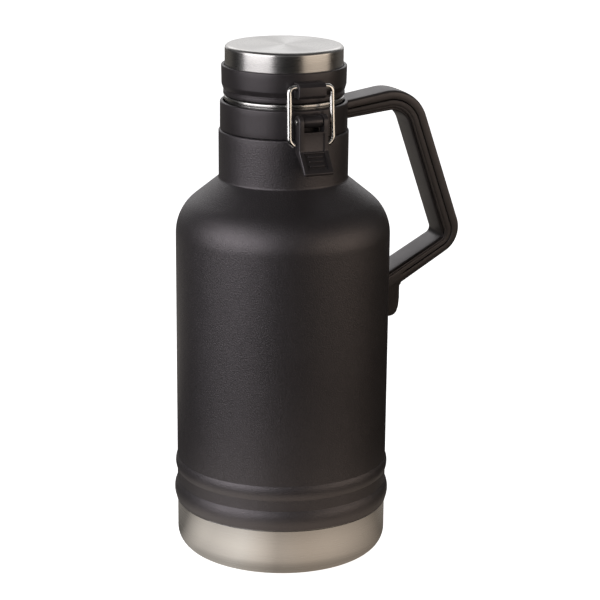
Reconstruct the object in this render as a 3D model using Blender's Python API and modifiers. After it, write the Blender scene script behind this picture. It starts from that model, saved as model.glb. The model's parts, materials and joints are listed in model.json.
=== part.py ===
"""A vacuum-insulated steel growler with a hinged, latched lid and a bolted-on carrying handle.

The origin is the centre of the flat underside. +Z is up along the bottle's axis, the handle stands on
+X, the latch faces -Y and the lid's hinge is at +Y. All lengths below are metres.
"""

import math

import bmesh
import bpy
from mathutils import Matrix, Vector

MM = 0.001
GAP = 0.3 * MM            # clearance between neighbouring pieces

# Steel bottle
BODY_R = 59.5 * MM        # outside radius below the shoulder
BODY_FOOT_R = 59.25 * MM  # the wall tapers to this just above the beads
WALL = 0.8 * MM
LINER_WALL = 0.6 * MM
NECK_R = 35.8 * MM
NECK_TOP_Z = 241.7 * MM
CREASE_Z = 214.6 * MM     # where the shoulder meets the neck
SHOULDER_Z = 195.3 * MM   # where the shoulder's slope would meet the wall
SHOULDER_FILLET = 25.6 * MM
CUP_R = 59.1 * MM         # bare base, set in a little from the painted wall
PAINT_EDGE_Z = 28.4 * MM  # painted shell above, bare steel base below
UPPER_BEAD = (50.0 * MM, 4.1 * MM, 0.95 * MM)   # centre height, half height, bulge
LOWER_BEAD = (34.0 * MM, 5.7 * MM, 1.55 * MM)
FOOT_FILLET = 10.5 * MM
LINER_R = 54.6 * MM
LINER_BOTTOM_Z = 9.3 * MM
LINER_NECK_R = 30.9 * MM
MOUTH_R = 32.9 * MM
MOUTH_TOP_Z = 260.9 * MM

# Collar round the mouth
COLLAR_R = 35.0 * MM
COLLAR_INNER_R = 33.3 * MM
COLLAR_BOTTOM_Z = 242.0 * MM
COLLAR_TOP_Z = 257.6 * MM

# Lid
LID_R = 34.35 * MM
LID_FOOT_R = 34.1 * MM
LID_BOTTOM_Z = 264.4 * MM # underside of the band
LIP_R = 33.2 * MM         # the lip below the band, over the mouth
LIP_BOTTOM_Z = 261.2 * MM
LID_BAND_TOP_Z = 277.3 * MM
CAP_R = 32.4 * MM
CAP_TOP_Z = 288.0 * MM
CAP_FILLET = 2.1 * MM
SHELF_Z = 269.6 * MM      # inner ledge the steel cap stands on
PLUG_R = 28.6 * MM
PLUG_BOTTOM_Z = 254.5 * MM
LID_SCREW_Z = 267.0 * MM
LID_SCREW_X = 5.0 * MM
LID_SADDLE_R = LID_R + GAP

# Hinge behind the lid: axis along X
HINGE_Y = 39.5 * MM
HINGE_Z = 260.6 * MM
KNUCKLE_R = 3.2 * MM
PIN_R = 1.25 * MM
PIN_BORE_R = 1.55 * MM

# Latch in front: the lever turns on a pin in the collar, the wire bail hangs in the lid's catch
LEVER_Y = -39.0 * MM
LEVER_Z = 252.3 * MM
LEVER_HALF_W = 8.55 * MM
LEVER_INNER_HALF_W = 5.8 * MM
BOSS_HALF_W = 5.45 * MM
BOSS_R = 3.3 * MM
BAIL_Y = -37.2 * MM
BAIL_Z = 270.4 * MM
BAIL_FOOT_Y = -38.9 * MM  # the limbs lean out to this at the feet
BAIL_FOOT_Z = 240.9 * MM
BAIL_HALF_W = 12.3 * MM
BAIL_WIRE_R = 1.45 * MM
BAIL_CORNER = 2.9 * MM
CATCH_HALF_W = 7.9 * MM

# Handle: corner points (x, z) of its inner and outer edges, with the corners' fillets
HANDLE_HALF_W = 9.5 * MM
HANDLE_INNER = [(33.0, 245.8), (68.8, 249.7), (94.7, 174.6), (57.5, 154.4)]
HANDLE_OUTER = [(33.0, 256.1), (76.2, 263.1), (108.0, 171.9), (67.8, 148.5)]
INNER_FILLETS = (11.5 * MM, 3.2 * MM)
OUTER_FILLETS = (23.0 * MM, 15.5 * MM)
SEAM = 0.58               # share of the handle's depth where grip and frame meet
GRIP_END_X = 68.3 * MM
TAB_FACE_X = 67.8 * MM
TAB_BOTTOM_Z = 130.2 * MM
TAB_SCREW_Z = 143.0 * MM
ARM_SCREW_Y = 4.0 * MM
ARM_SCREW_Z = 251.0 * MM

OUTSIDE_STEPS = 36        # facets round the large visible rings
INSIDE_STEPS = 24
SMALL_STEPS = 16

BLACK_PAINT = ("powder_coat_black", (0.022, 0.021, 0.022), 0.42, 0.3)
BRUSHED = ("brushed_steel", (0.56, 0.53, 0.50), 0.30, 1.0)
BLACK_PLASTIC = ("moulded_plastic_black", (0.030, 0.029, 0.030), 0.45, 0.0)
BLACK_GRIP = ("grip_black", (0.028, 0.026, 0.025), 0.60, 0.0)
BRIGHT_WIRE = ("polished_wire", (0.78, 0.77, 0.75), 0.12, 1.0)
SEAL_RUBBER = ("silicone_black", (0.02, 0.02, 0.02), 0.70, 0.0)
FOAM = ("insulating_foam", (0.82, 0.80, 0.72), 0.95, 0.0)
DULL_STEEL = ("plain_steel", (0.45, 0.44, 0.43), 0.45, 1.0)


def clear_scene():
    for obj in list(bpy.data.objects):
        bpy.data.objects.remove(obj, do_unlink=True)
    for collection in list(bpy.data.collections):
        bpy.data.collections.remove(collection)


def new_collection(name):
    collection = bpy.data.collections.new(name)
    bpy.context.scene.collection.children.link(collection)
    return collection


clear_scene()
PARTS = new_collection("growler")
CUTTERS = new_collection("cutters")


def finish_of(spec):
    """The shared material of this name, colour, roughness and metallic value."""
    name, colour, roughness, metallic = spec
    if name in bpy.data.materials:
        return bpy.data.materials[name]
    made = bpy.data.materials.new(name)
    made.use_nodes = True
    shader = made.node_tree.nodes["Principled BSDF"]
    shader.inputs["Base Color"].default_value = (*colour, 1.0)
    shader.inputs["Roughness"].default_value = roughness
    shader.inputs["Metallic"].default_value = metallic
    made.diffuse_color = (*colour, 1.0)
    return made


def new_object(name, data, finish=None):
    """A piece in the growler's collection, or a cutter where no finish is given."""
    obj = bpy.data.objects.new(name, data)
    if finish is None:
        CUTTERS.objects.link(obj)
        obj.hide_render = True
        obj.display_type = "WIRE"
    else:
        PARTS.objects.link(obj)
        data.materials.append(finish_of(finish))
    return obj


def to_metres(points):
    return [(a * MM, b * MM) for a, b in points]


def mix(a, b, share):
    return (a[0] + share * (b[0] - a[0]), a[1] + share * (b[1] - a[1]))


def arc(centre, radius, start, end, steps):
    """Points from one angle to another, in degrees, both ends included."""
    angles = [math.radians(start + (end - start) * i / steps) for i in range(steps + 1)]
    return [(centre[0] + radius * math.cos(a), centre[1] + radius * math.sin(a)) for a in angles]


def fillet(before, corner, after, radius, steps=4):
    """Points of the arc that rounds a corner between two straight lines."""
    here = Vector(corner)
    back = (Vector(before) - here).normalized()
    on = (Vector(after) - here).normalized()
    half = back.angle(on) / 2
    start = here + back * (radius / math.tan(half))
    centre = here + (back + on).normalized() * (radius / math.sin(half))
    spoke = start - centre
    turn = spoke.angle_signed(here + on * (radius / math.tan(half)) - centre)
    made = []
    for i in range(steps + 1):
        swung = Matrix.Rotation(-turn * i / steps, 2) @ spoke
        made.append(tuple(centre + swung))
    return made


def turned(name, profile, finish, steps, closed=False, wall=0.0):
    """Turns a profile of (radius, height) points round Z. With a wall it is a sheet thickened inwards."""
    mesh = bpy.data.meshes.new(name)
    edges = [(i, i + 1) for i in range(len(profile) - 1)]
    if closed:
        edges.append((len(profile) - 1, 0))
    mesh.from_pydata([(r, 0, z) for r, z in profile], edges, [])
    obj = new_object(name, mesh, finish)
    screw = obj.modifiers.new("turn", "SCREW")
    screw.steps = screw.render_steps = steps
    screw.use_merge_vertices = True
    screw.merge_threshold = 0.01 * MM
    if wall:
        solid = obj.modifiers.new("wall", "SOLIDIFY")
        solid.thickness = wall
        solid.offset = -1.0
        solid.use_even_offset = True
    return obj


def along(obj, axis, place):
    """Lays a piece turned round Z along the X or Y axis, at a place."""
    if axis == "X":
        obj.rotation_euler = (0, math.radians(90), 0)
    elif axis == "Y":
        obj.rotation_euler = (math.radians(-90), 0, 0)
    obj.location = place
    return obj


def rod(name, radius, length, axis, place, finish=None, steps=SMALL_STEPS):
    """A plain cylinder centred on a place, its axis along X, Y or Z."""
    mesh = bpy.data.meshes.new(name)
    shape = bmesh.new()
    bmesh.ops.create_cone(
        shape, cap_ends=True, segments=steps, radius1=radius, radius2=radius, depth=length
    )
    shape.to_mesh(mesh)
    shape.free()
    return along(new_object(name, mesh, finish), axis, place)


def prism(name, outline, half_width, axis, finish=None, place=(0, 0, 0)):
    """A flat outline given half its thickness each way along X, as (y, z), or along Y, as (x, z)."""
    curve = bpy.data.curves.new(name, "CURVE")
    curve.dimensions = "2D"
    curve.fill_mode = "BOTH"
    curve.extrude = half_width
    spline = curve.splines.new("POLY")
    spline.points.add(len(outline) - 1)
    for point, (a, b) in zip(spline.points, outline):
        point.co = (a, b, 0, 1)
    spline.use_cyclic_u = True
    drawn = bpy.data.objects.new(name + "_outline", curve)
    CUTTERS.objects.link(drawn)
    upright = Matrix(((1, 0, 0), (0, 0, -1), (0, 1, 0))).to_4x4()
    facing = upright if axis == "Y" else Matrix.Rotation(math.radians(90), 4, "Z") @ upright
    drawn.matrix_world = Matrix.Translation(place) @ facing
    bpy.context.view_layer.update()
    graph = bpy.context.evaluated_depsgraph_get()
    mesh = bpy.data.meshes.new_from_object(drawn.evaluated_get(graph))
    shape = bmesh.new()
    shape.from_mesh(mesh)
    bmesh.ops.remove_doubles(shape, verts=shape.verts, dist=0.001 * MM)
    bmesh.ops.recalc_face_normals(shape, faces=shape.faces)
    shape.to_mesh(mesh)
    shape.free()
    mesh.name = name
    mesh.materials.clear()
    made = new_object(name, mesh, finish)
    made.matrix_world = drawn.matrix_world.copy()
    bpy.data.objects.remove(drawn, do_unlink=True)
    bpy.data.curves.remove(curve)
    return made


def block(name, low, high, finish=None):
    """A box between two corners."""
    mesh = bpy.data.meshes.new(name)
    shape = bmesh.new()
    bmesh.ops.create_cube(shape, size=1.0)
    size = [b - a for a, b in zip(low, high)]
    bmesh.ops.scale(shape, vec=size, verts=shape.verts)
    shape.to_mesh(mesh)
    shape.free()
    obj = new_object(name, mesh, finish)
    obj.location = [(a + b) / 2 for a, b in zip(low, high)]
    return obj


def rounded(obj, width, segments=2, angle=40):
    bevel = obj.modifiers.new("rounding", "BEVEL")
    bevel.width = width
    bevel.segments = segments
    bevel.limit_method = "ANGLE"
    bevel.angle_limit = math.radians(angle)
    return obj


def combine(obj, other, operation):
    boolean = obj.modifiers.new(operation.lower(), "BOOLEAN")
    boolean.operation = operation
    boolean.solver = "EXACT"
    boolean.object = other


def cut(obj, *others):
    for other in others:
        combine(obj, other, "DIFFERENCE")


def join(obj, *others):
    for other in others:
        combine(obj, other, "UNION")


def screw_piece(name, head_r, head_h, shank_r, length, axis, place, outward=1):
    """A pan-head screw: its head's underside is at the place, and its shank runs outward along the axis."""
    profile = [
        (0, 0),
        (head_r * 0.8, 0),
        (head_r, -head_h * 0.35),
        (head_r, -head_h),
        (shank_r, -head_h),
        (shank_r, -head_h - length * 0.9),
        (shank_r * 0.55, -head_h - length),
        (0, -head_h - length),
    ]
    lifted = [(r, z + head_h) for r, z in profile]
    obj = turned(name, lifted, DULL_STEEL, 12)
    swing = {"X": (0, -90, 0), "Y": (90, 0, 0)}[axis]
    obj.rotation_euler = [math.radians(outward * a) for a in swing]
    obj.location = place
    return obj


def pin_piece(name, half_length, place):
    """A headed pin along X, peened over at both ends."""
    cap_r = PIN_R + 0.6 * MM
    profile = [
        (0, half_length),
        (cap_r * 0.8, half_length),
        (cap_r, half_length - 0.4 * MM),
        (cap_r, half_length - 0.7 * MM),
        (PIN_R, half_length - 0.7 * MM),
    ]
    profile += [(r, -z) for r, z in reversed(profile)]
    return along(turned(name, profile, DULL_STEEL, 12), "X", place)


# ---- the steel bottle ----


def bead_line(spec, low, steps):
    """A rolled bead's arc down the wall, to its lower end or to a height above that."""
    centre, half, bulge = spec
    radius = (half * half + bulge * bulge) / (2 * bulge)
    middle = (BODY_FOOT_R + bulge - radius, centre)
    start = math.degrees(math.asin(half / radius))
    end = -math.degrees(math.asin(min(half, centre - low) / radius))
    return arc(middle, radius, start, end, steps)


def make_outer_shell():
    crease = (NECK_R - 0.1 * MM, CREASE_Z)
    shoulder = (BODY_R, SHOULDER_Z)
    neck_top = (NECK_R, NECK_TOP_Z)
    profile = [(MOUTH_R + GAP, NECK_TOP_Z)]
    profile += fillet(profile[0], neck_top, crease, 1.2 * MM, 2)
    profile += fillet(neck_top, crease, shoulder, 1.5 * MM, 2)
    profile += fillet(crease, shoulder, (BODY_R, 100 * MM), SHOULDER_FILLET, 5)
    profile += bead_line(UPPER_BEAD, 0, 4)
    profile += bead_line(LOWER_BEAD, PAINT_EDGE_Z + 0.1 * MM, 5)
    return turned("outer_shell", profile, BLACK_PAINT, OUTSIDE_STEPS, wall=WALL)


def make_base_cup():
    top = (CUP_R, PAINT_EDGE_Z - 0.2 * MM)
    profile = [top]
    profile += fillet(top, (CUP_R, 0), (0, 0), FOOT_FILLET, 5)
    profile += to_metres([(44, 0), (43, 0.8), (36, 0.8), (35, 0), (0, 0)])
    return turned("base_cup", profile, BRUSHED, OUTSIDE_STEPS, wall=WALL)


def make_inner_liner():
    neck_foot = (LINER_NECK_R, 212.2 * MM)
    shoulder = (LINER_R, 192.9 * MM)
    foot = (LINER_R, LINER_BOTTOM_Z)
    profile = [(LINER_NECK_R, MOUTH_TOP_Z - 0.4 * MM)]
    profile += fillet(profile[0], neck_foot, shoulder, 4 * MM, 2)
    profile += fillet(neck_foot, shoulder, foot, 21 * MM, 4)
    profile += fillet(shoulder, foot, (0, LINER_BOTTOM_Z), 9 * MM, 3)
    profile.append((0, LINER_BOTTOM_Z))
    return turned("inner_liner", profile, BRUSHED, INSIDE_STEPS, wall=LINER_WALL)


def make_mouth_ring():
    inner = LINER_NECK_R + GAP
    foot = 236.5 * MM
    corners = [(inner, MOUTH_TOP_Z), (MOUTH_R, MOUTH_TOP_Z), (MOUTH_R, foot), (inner, foot)]
    profile = [(inner, MOUTH_TOP_Z)]
    profile += fillet(corners[0], corners[1], corners[2], 0.8 * MM, 2)
    profile += corners[2:]
    return turned("mouth_ring", profile, BRUSHED, OUTSIDE_STEPS, closed=True)


def make_vacuum_bottom():
    """The pressed plate that closes the vacuum jacket from below."""
    flange_r = 57.9 * MM
    plate_z = 4.8 * MM
    rim = (flange_r, 36 * MM)
    profile = [rim]
    profile += fillet(rim, (flange_r, plate_z), (0, plate_z), 8 * MM, 3)
    profile.append((0, plate_z))
    return turned("vacuum_bottom", profile, DULL_STEEL, INSIDE_STEPS, wall=WALL)


def make_disc(name, radius, bottom, top, finish, place=(0, 0)):
    disc = rod(name, radius, top - bottom, "Z", (place[0], place[1], (bottom + top) / 2), finish)
    return rounded(disc, 0.3 * MM, 1)


# ---- the collar round the mouth ----


def boss_outline():
    """The latch boss from the side: a web with a round nose about the lever's pin."""
    root_y = -33.8 * MM
    nose = arc((LEVER_Y, LEVER_Z), BOSS_R, 90, 270, 8)
    return [(root_y, LEVER_Z + BOSS_R), *nose, (root_y, LEVER_Z - BOSS_R)]


def lug_outline():
    """A hinge lug from the side: it leans back from the collar and up to the hinge pin."""
    root_y = 33.0 * MM
    nose = arc((HINGE_Y, HINGE_Z), KNUCKLE_R, -20, 180, 8)
    low = to_metres([(36.3, 258.6)])
    back = to_metres([(38.5, 247.4)])
    return [*nose, *low, (root_y, 255.5 * MM), (root_y, 247.4 * MM), *back]


def make_neck_collar():
    corners = [
        (COLLAR_INNER_R, COLLAR_TOP_Z),
        (COLLAR_R, COLLAR_TOP_Z),
        (COLLAR_R, COLLAR_BOTTOM_Z),
        (COLLAR_INNER_R, COLLAR_BOTTOM_Z),
    ]
    profile = [corners[0]]
    profile += fillet(corners[0], corners[1], corners[2], 0.9 * MM, 2)
    profile += corners[2:]
    collar = turned("neck_collar", profile, BLACK_PLASTIC, OUTSIDE_STEPS, closed=True)
    join(collar, prism("latch_boss", boss_outline(), BOSS_HALF_W, "X"))
    for side in (-1, 1):
        place = (side * 7.8 * MM, 0, 0)
        join(collar, prism(f"hinge_lug_{side}", lug_outline(), 1.9 * MM, "X", place=place))
    cut(collar, rod("lever_pin_bore", PIN_BORE_R, 16 * MM, "X", (0, LEVER_Y, LEVER_Z)))
    cut(collar, rod("hinge_pin_bore", PIN_BORE_R, 26 * MM, "X", (0, HINGE_Y, HINGE_Z)))
    for side in (-1, 1):
        y = side * ARM_SCREW_Y
        cut(collar, rod(f"arm_hole_{side}", 1.6 * MM, 6 * MM, "X", (34 * MM, y, ARM_SCREW_Z)))
        cut(collar, rod(f"arm_sink_{side}", 2.3 * MM, 3 * MM, "X", (32.5 * MM, y, ARM_SCREW_Z)))
    return collar


# ---- the handle ----


def handle_line(share, steps):
    """The line that runs round the handle at this share of its depth, from collar to bottle."""
    inner = to_metres(HANDLE_INNER)
    outer = to_metres(HANDLE_OUTER)
    corners = [mix(a, b, share) for a, b in zip(inner, outer)]
    radii = [a + share * (b - a) for a, b in zip(INNER_FILLETS, OUTER_FILLETS)]
    line = [corners[0]]
    line += fillet(corners[0], corners[1], corners[2], radii[0], steps)
    line += fillet(corners[1], corners[2], corners[3], radii[1], steps)
    return line, corners[2:]


def at_x(start, end, x):
    share = (x - start[0]) / (end[0] - start[0])
    return mix(start, end, share)


def frame_outline():
    """The frame's side view: outer band, lower arm and the tab that stands on the bottle's wall."""
    outer, outer_arm = handle_line(1.0, 6)
    seam, seam_arm = handle_line(SEAM + 0.02, 6)
    _, inner_arm = handle_line(0.0, 6)
    inside_x = 57.5 * MM
    face_top = (TAB_FACE_X, 140 * MM)
    tab_corner = (TAB_FACE_X, TAB_BOTTOM_Z)
    tab_end = (inside_x, TAB_BOTTOM_Z)
    end_x = GRIP_END_X - 2 * GAP
    outline = outer[:]
    outline += fillet(outer_arm[0], outer_arm[1], face_top, 2.5 * MM, 2)
    outline += fillet(face_top, tab_corner, tab_end, 6.5 * MM, 4)
    outline += [tab_end, at_x(*inner_arm, inside_x), at_x(*inner_arm, end_x)]
    outline += [at_x(*seam_arm, end_x)]
    outline += reversed(seam)
    return outline


def grip_outline():
    """The grip's side view: the inner part of the handle, from the collar to the lower arm."""
    inner, inner_arm = handle_line(0.0, 6)
    seam, seam_arm = handle_line(SEAM - 0.02, 6)
    return [*seam, at_x(*seam_arm, GRIP_END_X), at_x(*inner_arm, GRIP_END_X), *reversed(inner)]


def make_handle():
    bottle_clear = rod("bottle_clear", BODY_R + GAP, 60 * MM, "Z", (0, 0, 145 * MM), steps=96)
    collar_clear = rod("collar_clear", COLLAR_R + GAP, 30 * MM, "Z", (0, 0, 250 * MM), steps=64)
    frame = rounded(prism("handle_frame", frame_outline(), HANDLE_HALF_W, "Y", BLACK_PLASTIC), 1.2 * MM)
    grip = rounded(prism("handle_grip", grip_outline(), HANDLE_HALF_W, "Y", BLACK_GRIP), 1.0 * MM)
    cut(frame, bottle_clear, collar_clear)
    cut(grip, collar_clear)
    pocket = block(
        "bracket_pocket",
        (55 * MM, -5.4 * MM, 133.6 * MM),
        (63.7 * MM, 5.4 * MM, 152.4 * MM),
    )
    place = (64 * MM, 0, TAB_SCREW_Z)
    cut(frame, pocket, rod("tab_hole", 1.7 * MM, 12 * MM, "X", place))
    cut(frame, rod("tab_sink", 3.0 * MM, 4 * MM, "X", (68.1 * MM, 0, TAB_SCREW_Z)))
    for side in (-1, 1):
        place = (36.5 * MM, side * ARM_SCREW_Y, ARM_SCREW_Z)
        hole = rod(f"arm_pilot_{side}", 1.6 * MM, 14 * MM, "X", place)
        cut(grip, hole)
        cut(frame, hole)


def make_handle_bracket():
    """The steel block welded to the bottle's wall, which the handle's tab is screwed to."""
    bracket = block(
        "handle_bracket",
        (58.5 * MM, -5 * MM, 134 * MM),
        (63.2 * MM, 5 * MM, 152 * MM),
        DULL_STEEL,
    )
    cut(bracket, rod("wall_clear", BODY_R + GAP, 40 * MM, "Z", (0, 0, TAB_SCREW_Z), steps=96))
    cut(bracket, rod("bracket_hole", 1.7 * MM, 12 * MM, "X", (62 * MM, 0, TAB_SCREW_Z)))


def make_handle_screws():
    screw_piece(
        "handle_screw_lower", 2.6 * MM, 1.4 * MM, 1.3 * MM, 5.4 * MM, "X",
        (66.4 * MM, 0, TAB_SCREW_Z), outward=-1,
    )
    for side, name in ((-1, "left"), (1, "right")):
        screw_piece(
            f"handle_screw_upper_{name}", 1.9 * MM, 0.6 * MM, 1.2 * MM, 7 * MM, "X",
            (33.7 * MM, side * ARM_SCREW_Y, ARM_SCREW_Z), outward=1,
        )


# ---- the lid ----


def make_lid_body():
    """The black moulded lid: an outer band, a ledge for the steel cap and a plug for the mouth."""
    profile = [(0, 256.3 * MM), (26.4 * MM, 256.3 * MM), (26.4 * MM, 264.5 * MM)]
    profile += [(29.6 * MM, 265.1 * MM), (29.6 * MM, SHELF_Z), (CAP_R + 0.35 * MM, SHELF_Z)]
    profile += [(CAP_R + 0.35 * MM, LID_BAND_TOP_Z), (33.5 * MM, LID_BAND_TOP_Z)]
    profile += [(LID_R, LID_BAND_TOP_Z - 1.1 * MM), (LID_FOOT_R, LID_BOTTOM_Z + 2.6 * MM)]
    profile += [(33.8 * MM, LID_BOTTOM_Z + 1.0 * MM), (33.3 * MM, LID_BOTTOM_Z)]
    groove_r = LIP_R - 0.55 * MM
    profile += [(groove_r, LID_BOTTOM_Z), (groove_r, LID_BOTTOM_Z - 1.0 * MM)]
    profile += [(LIP_R, LID_BOTTOM_Z - 1.0 * MM), (LIP_R, LIP_BOTTOM_Z), (32.6 * MM, LIP_BOTTOM_Z)]
    profile += [(32.6 * MM, LIP_BOTTOM_Z + 1.6 * MM), (PLUG_R, LIP_BOTTOM_Z + 1.6 * MM)]
    foot = (PLUG_R - 0.6 * MM, PLUG_BOTTOM_Z)
    profile += fillet(profile[-1], foot, (0, PLUG_BOTTOM_Z), 1.5 * MM, 2)
    profile.append((0, PLUG_BOTTOM_Z))
    body = turned("lid_body", profile, BLACK_PLASTIC, OUTSIDE_STEPS)
    for end, direction in (("catch", -1), ("hinge", 1)):
        for side in (-1, 1):
            place = (side * LID_SCREW_X, direction * 32 * MM, LID_SCREW_Z)
            cut(body, rod(f"{end}_hole_{side}", 1.05 * MM, 10 * MM, "Y", place, steps=12))
    return body


def make_lid_cap():
    rim = (CAP_R, CAP_TOP_Z)
    foot = (CAP_R, SHELF_Z + GAP)
    profile = [(0, CAP_TOP_Z)]
    profile += fillet((0, CAP_TOP_Z), rim, foot, CAP_FILLET, 4)
    profile.append(foot)
    return turned("lid_cap", profile, BRUSHED, OUTSIDE_STEPS, wall=WALL)


def make_lid_insulation():
    points = [(0, 286.8), (30.4, 286.8), (31.1, 285.5), (31.1, 270.3), (27.2, 270.3)]
    points += [(27.2, 266.8), (26.0, 265.2), (26.0, 256.7), (0, 256.7)]
    return turned("lid_insulation", to_metres(points), FOAM, INSIDE_STEPS)


def make_lid_gasket():
    low = MOUTH_TOP_Z + GAP
    high = low + 1.3 * MM
    inner = 29.2 * MM
    outer = 32.3 * MM
    profile = [(inner, high), (outer, high), (outer, low), (inner, low)]
    return turned("lid_gasket", profile, SEAL_RUBBER, INSIDE_STEPS, closed=True)


def lid_saddle(name):
    """Room for the lid's band behind a piece that sits on it."""
    return rod(name, LID_SADDLE_R, 24 * MM, "Z", (0, 0, 270 * MM), steps=96)


def make_latch_catch():
    """The block on the lid's front. The bail's bar lies in its slot, which the band behind closes."""
    root = -32.5 * MM
    outline = to_metres([(-39.6, 264.7), (-41.0, 266.1), (-41.0, 270.9), (-39.2, 272.8)])
    outline = [(root, 264.7 * MM), *outline, (root, 273.3 * MM)]
    catch = rounded(prism("latch_catch", outline, CATCH_HALF_W, "X", BLACK_PLASTIC), 0.5 * MM, 1)
    slot_r = BAIL_WIRE_R + 0.35 * MM
    nose = arc((BAIL_Y, BAIL_Z), slot_r, 90, 270, 8)
    slot = [(-30 * MM, BAIL_Z + slot_r), *nose, (-30 * MM, BAIL_Z - slot_r)]
    cut(catch, lid_saddle("catch_saddle"), prism("bail_slot", slot, 12 * MM, "X"))
    for side in (-1, 1):
        place = (side * LID_SCREW_X, -35 * MM, LID_SCREW_Z)
        cut(catch, rod(f"catch_pilot_{side}", 1.05 * MM, 9 * MM, "Y", place, steps=12))
    return catch


def make_hinge_leaf():
    """The lid's half of the hinge: a plate on the band and a knuckle between the collar's lugs."""
    plate = [(32.5, 264.6), (36.9, 264.6), (36.9, 275.0), (32.5, 275.0)]
    nose = arc((HINGE_Y, HINGE_Z), KNUCKLE_R, 45, -200, 10)
    web = [*nose, (34.0 * MM, 264.8 * MM), (34.0 * MM, 271.5 * MM), (36.5 * MM, 271.5 * MM)]
    leaf = prism("hinge_leaf", to_metres(plate), 8.5 * MM, "X", DULL_STEEL)
    join(leaf, prism("hinge_knuckle", web, 5.55 * MM, "X"))
    cut(leaf, lid_saddle("hinge_saddle"))
    cut(leaf, rod("knuckle_bore", PIN_BORE_R, 16 * MM, "X", (0, HINGE_Y, HINGE_Z)))
    for side in (-1, 1):
        place = (side * LID_SCREW_X, 31.6 * MM, LID_SCREW_Z)
        cut(leaf, rod(f"leaf_pilot_{side}", 1.05 * MM, 9 * MM, "Y", place, steps=12))
    return leaf


def make_lid_screws():
    """Four small screws, driven from inside the lid into the catch and the hinge leaf."""
    for end, direction, length in (("catch", -1, 9.6 * MM), ("hinge", 1, 6.6 * MM)):
        for side, name in ((-1, "left"), (1, "right")):
            screw_piece(
                f"{end}_screw_{name}", 1.5 * MM, 1.0 * MM, 0.75 * MM, length, "Y",
                (side * LID_SCREW_X, direction * 28.4 * MM, LID_SCREW_Z), outward=direction,
            )


# ---- the latch ----


def lever_outline():
    """The lever from the side: a round head about the pin, a straight shank and a flared thumb tab."""
    head = arc((LEVER_Y, LEVER_Z), 3.9 * MM, 10, 170, 8)
    front = to_metres([(-42.9, 249.6), (-42.9, 237.1), (-43.2, 236.4)])
    tip = to_metres([(-50.7, 226.6), (-50.9, 225.6), (-50.1, 224.7)])
    back = to_metres([(-41.2, 232.7), (-39.2, 233.8), (-36.7, 236.2), (-36.7, 249.0)])
    return [*head, *front, *tip, *back]


def channel_outline():
    """What is cut out between the lever's side walls, behind its plate and above it."""
    return to_metres(
        [(-30, 262), (-46, 262), (-46, 247.3), (-40.7, 246.9), (-40.7, 237.0), (-38.4, 234.7), (-30, 234.7)]
    )


def rib_outline(count=3):
    """Grip ribs across the face of the thumb tab, as bumps on one strip."""
    top = Vector((-44.4 * MM, 234.8 * MM))
    slope = Vector((-50.7 * MM, 226.6 * MM)) - top
    out = Vector((slope.y, -slope.x)).normalized()
    pitch = 2.9 * MM
    run = slope.normalized()
    line = []
    for i in range(count):
        start = top + run * (0.8 * MM + pitch * i)
        for shift, rise in ((0, -0.3), (0.35, 0.6), (1.15, 0.6), (1.5, -0.3)):
            line.append(tuple(start + run * shift * MM + out * rise * MM))
    deep = [tuple(Vector(p) - out * 0.5 * MM) for p in (line[-1], line[0])]
    return line + deep


def make_latch_lever():
    lever = prism("latch_lever", lever_outline(), LEVER_HALF_W, "X", BLACK_PLASTIC)
    rounded(lever, 0.45 * MM, 1)
    cut(lever, prism("lever_channel", channel_outline(), LEVER_INNER_HALF_W, "X"))
    join(lever, prism("thumb_ribs", rib_outline(), 6.3 * MM, "X"))
    cut(lever, rod("lever_bore", PIN_BORE_R, 24 * MM, "X", (0, LEVER_Y, LEVER_Z)))
    return lever


def bail_path():
    """Centre line of the wire as (x, z): foot, limb, top bar, limb, foot."""
    foot_end = (LEVER_HALF_W + 1.4 * MM, BAIL_FOOT_Z)
    foot_corner = (BAIL_HALF_W + 0.3 * MM, BAIL_FOOT_Z + 2.4 * MM)
    top_corner = (BAIL_HALF_W, BAIL_Z)
    half = [foot_end]
    half += fillet(foot_end, foot_corner, top_corner, 2.6 * MM, 4)
    half += fillet(foot_corner, top_corner, (0, BAIL_Z), BAIL_CORNER, 4)
    return half + [(-x, z) for x, z in reversed(half)]


def make_latch_bail():
    """The bent wire. Its origin is on the bar that turns in the catch."""
    curve = bpy.data.curves.new("latch_bail", "CURVE")
    curve.dimensions = "3D"
    curve.bevel_depth = BAIL_WIRE_R
    curve.bevel_resolution = 2
    curve.use_fill_caps = True
    path = bail_path()
    spline = curve.splines.new("POLY")
    spline.points.add(len(path) - 1)
    lean = (BAIL_FOOT_Y - BAIL_Y) / (BAIL_FOOT_Z - BAIL_Z)
    for point, (x, z) in zip(spline.points, path):
        point.co = (x, lean * (z - BAIL_Z), z - BAIL_Z, 1)
    bail = new_object("latch_bail", curve, BRIGHT_WIRE)
    bail.location = (0, BAIL_Y, BAIL_Z)
    return bail


# ---- the assembly ----


def pivot(name, place, members):
    """An empty on a joint's axis, with the pieces that turn about it as its children."""
    empty = bpy.data.objects.new(name, None)
    PARTS.objects.link(empty)
    empty.location = place
    bpy.context.view_layer.update()
    for member in members:
        piece = bpy.data.objects[member]
        piece.parent = empty
        piece.matrix_parent_inverse = empty.matrix_world.inverted()
    return empty


def smooth_round_pieces():
    for obj in PARTS.objects:
        if obj.type == "MESH":
            obj.data.shade_smooth()
            obj.data.set_sharp_from_angle(angle=math.radians(35))


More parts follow.
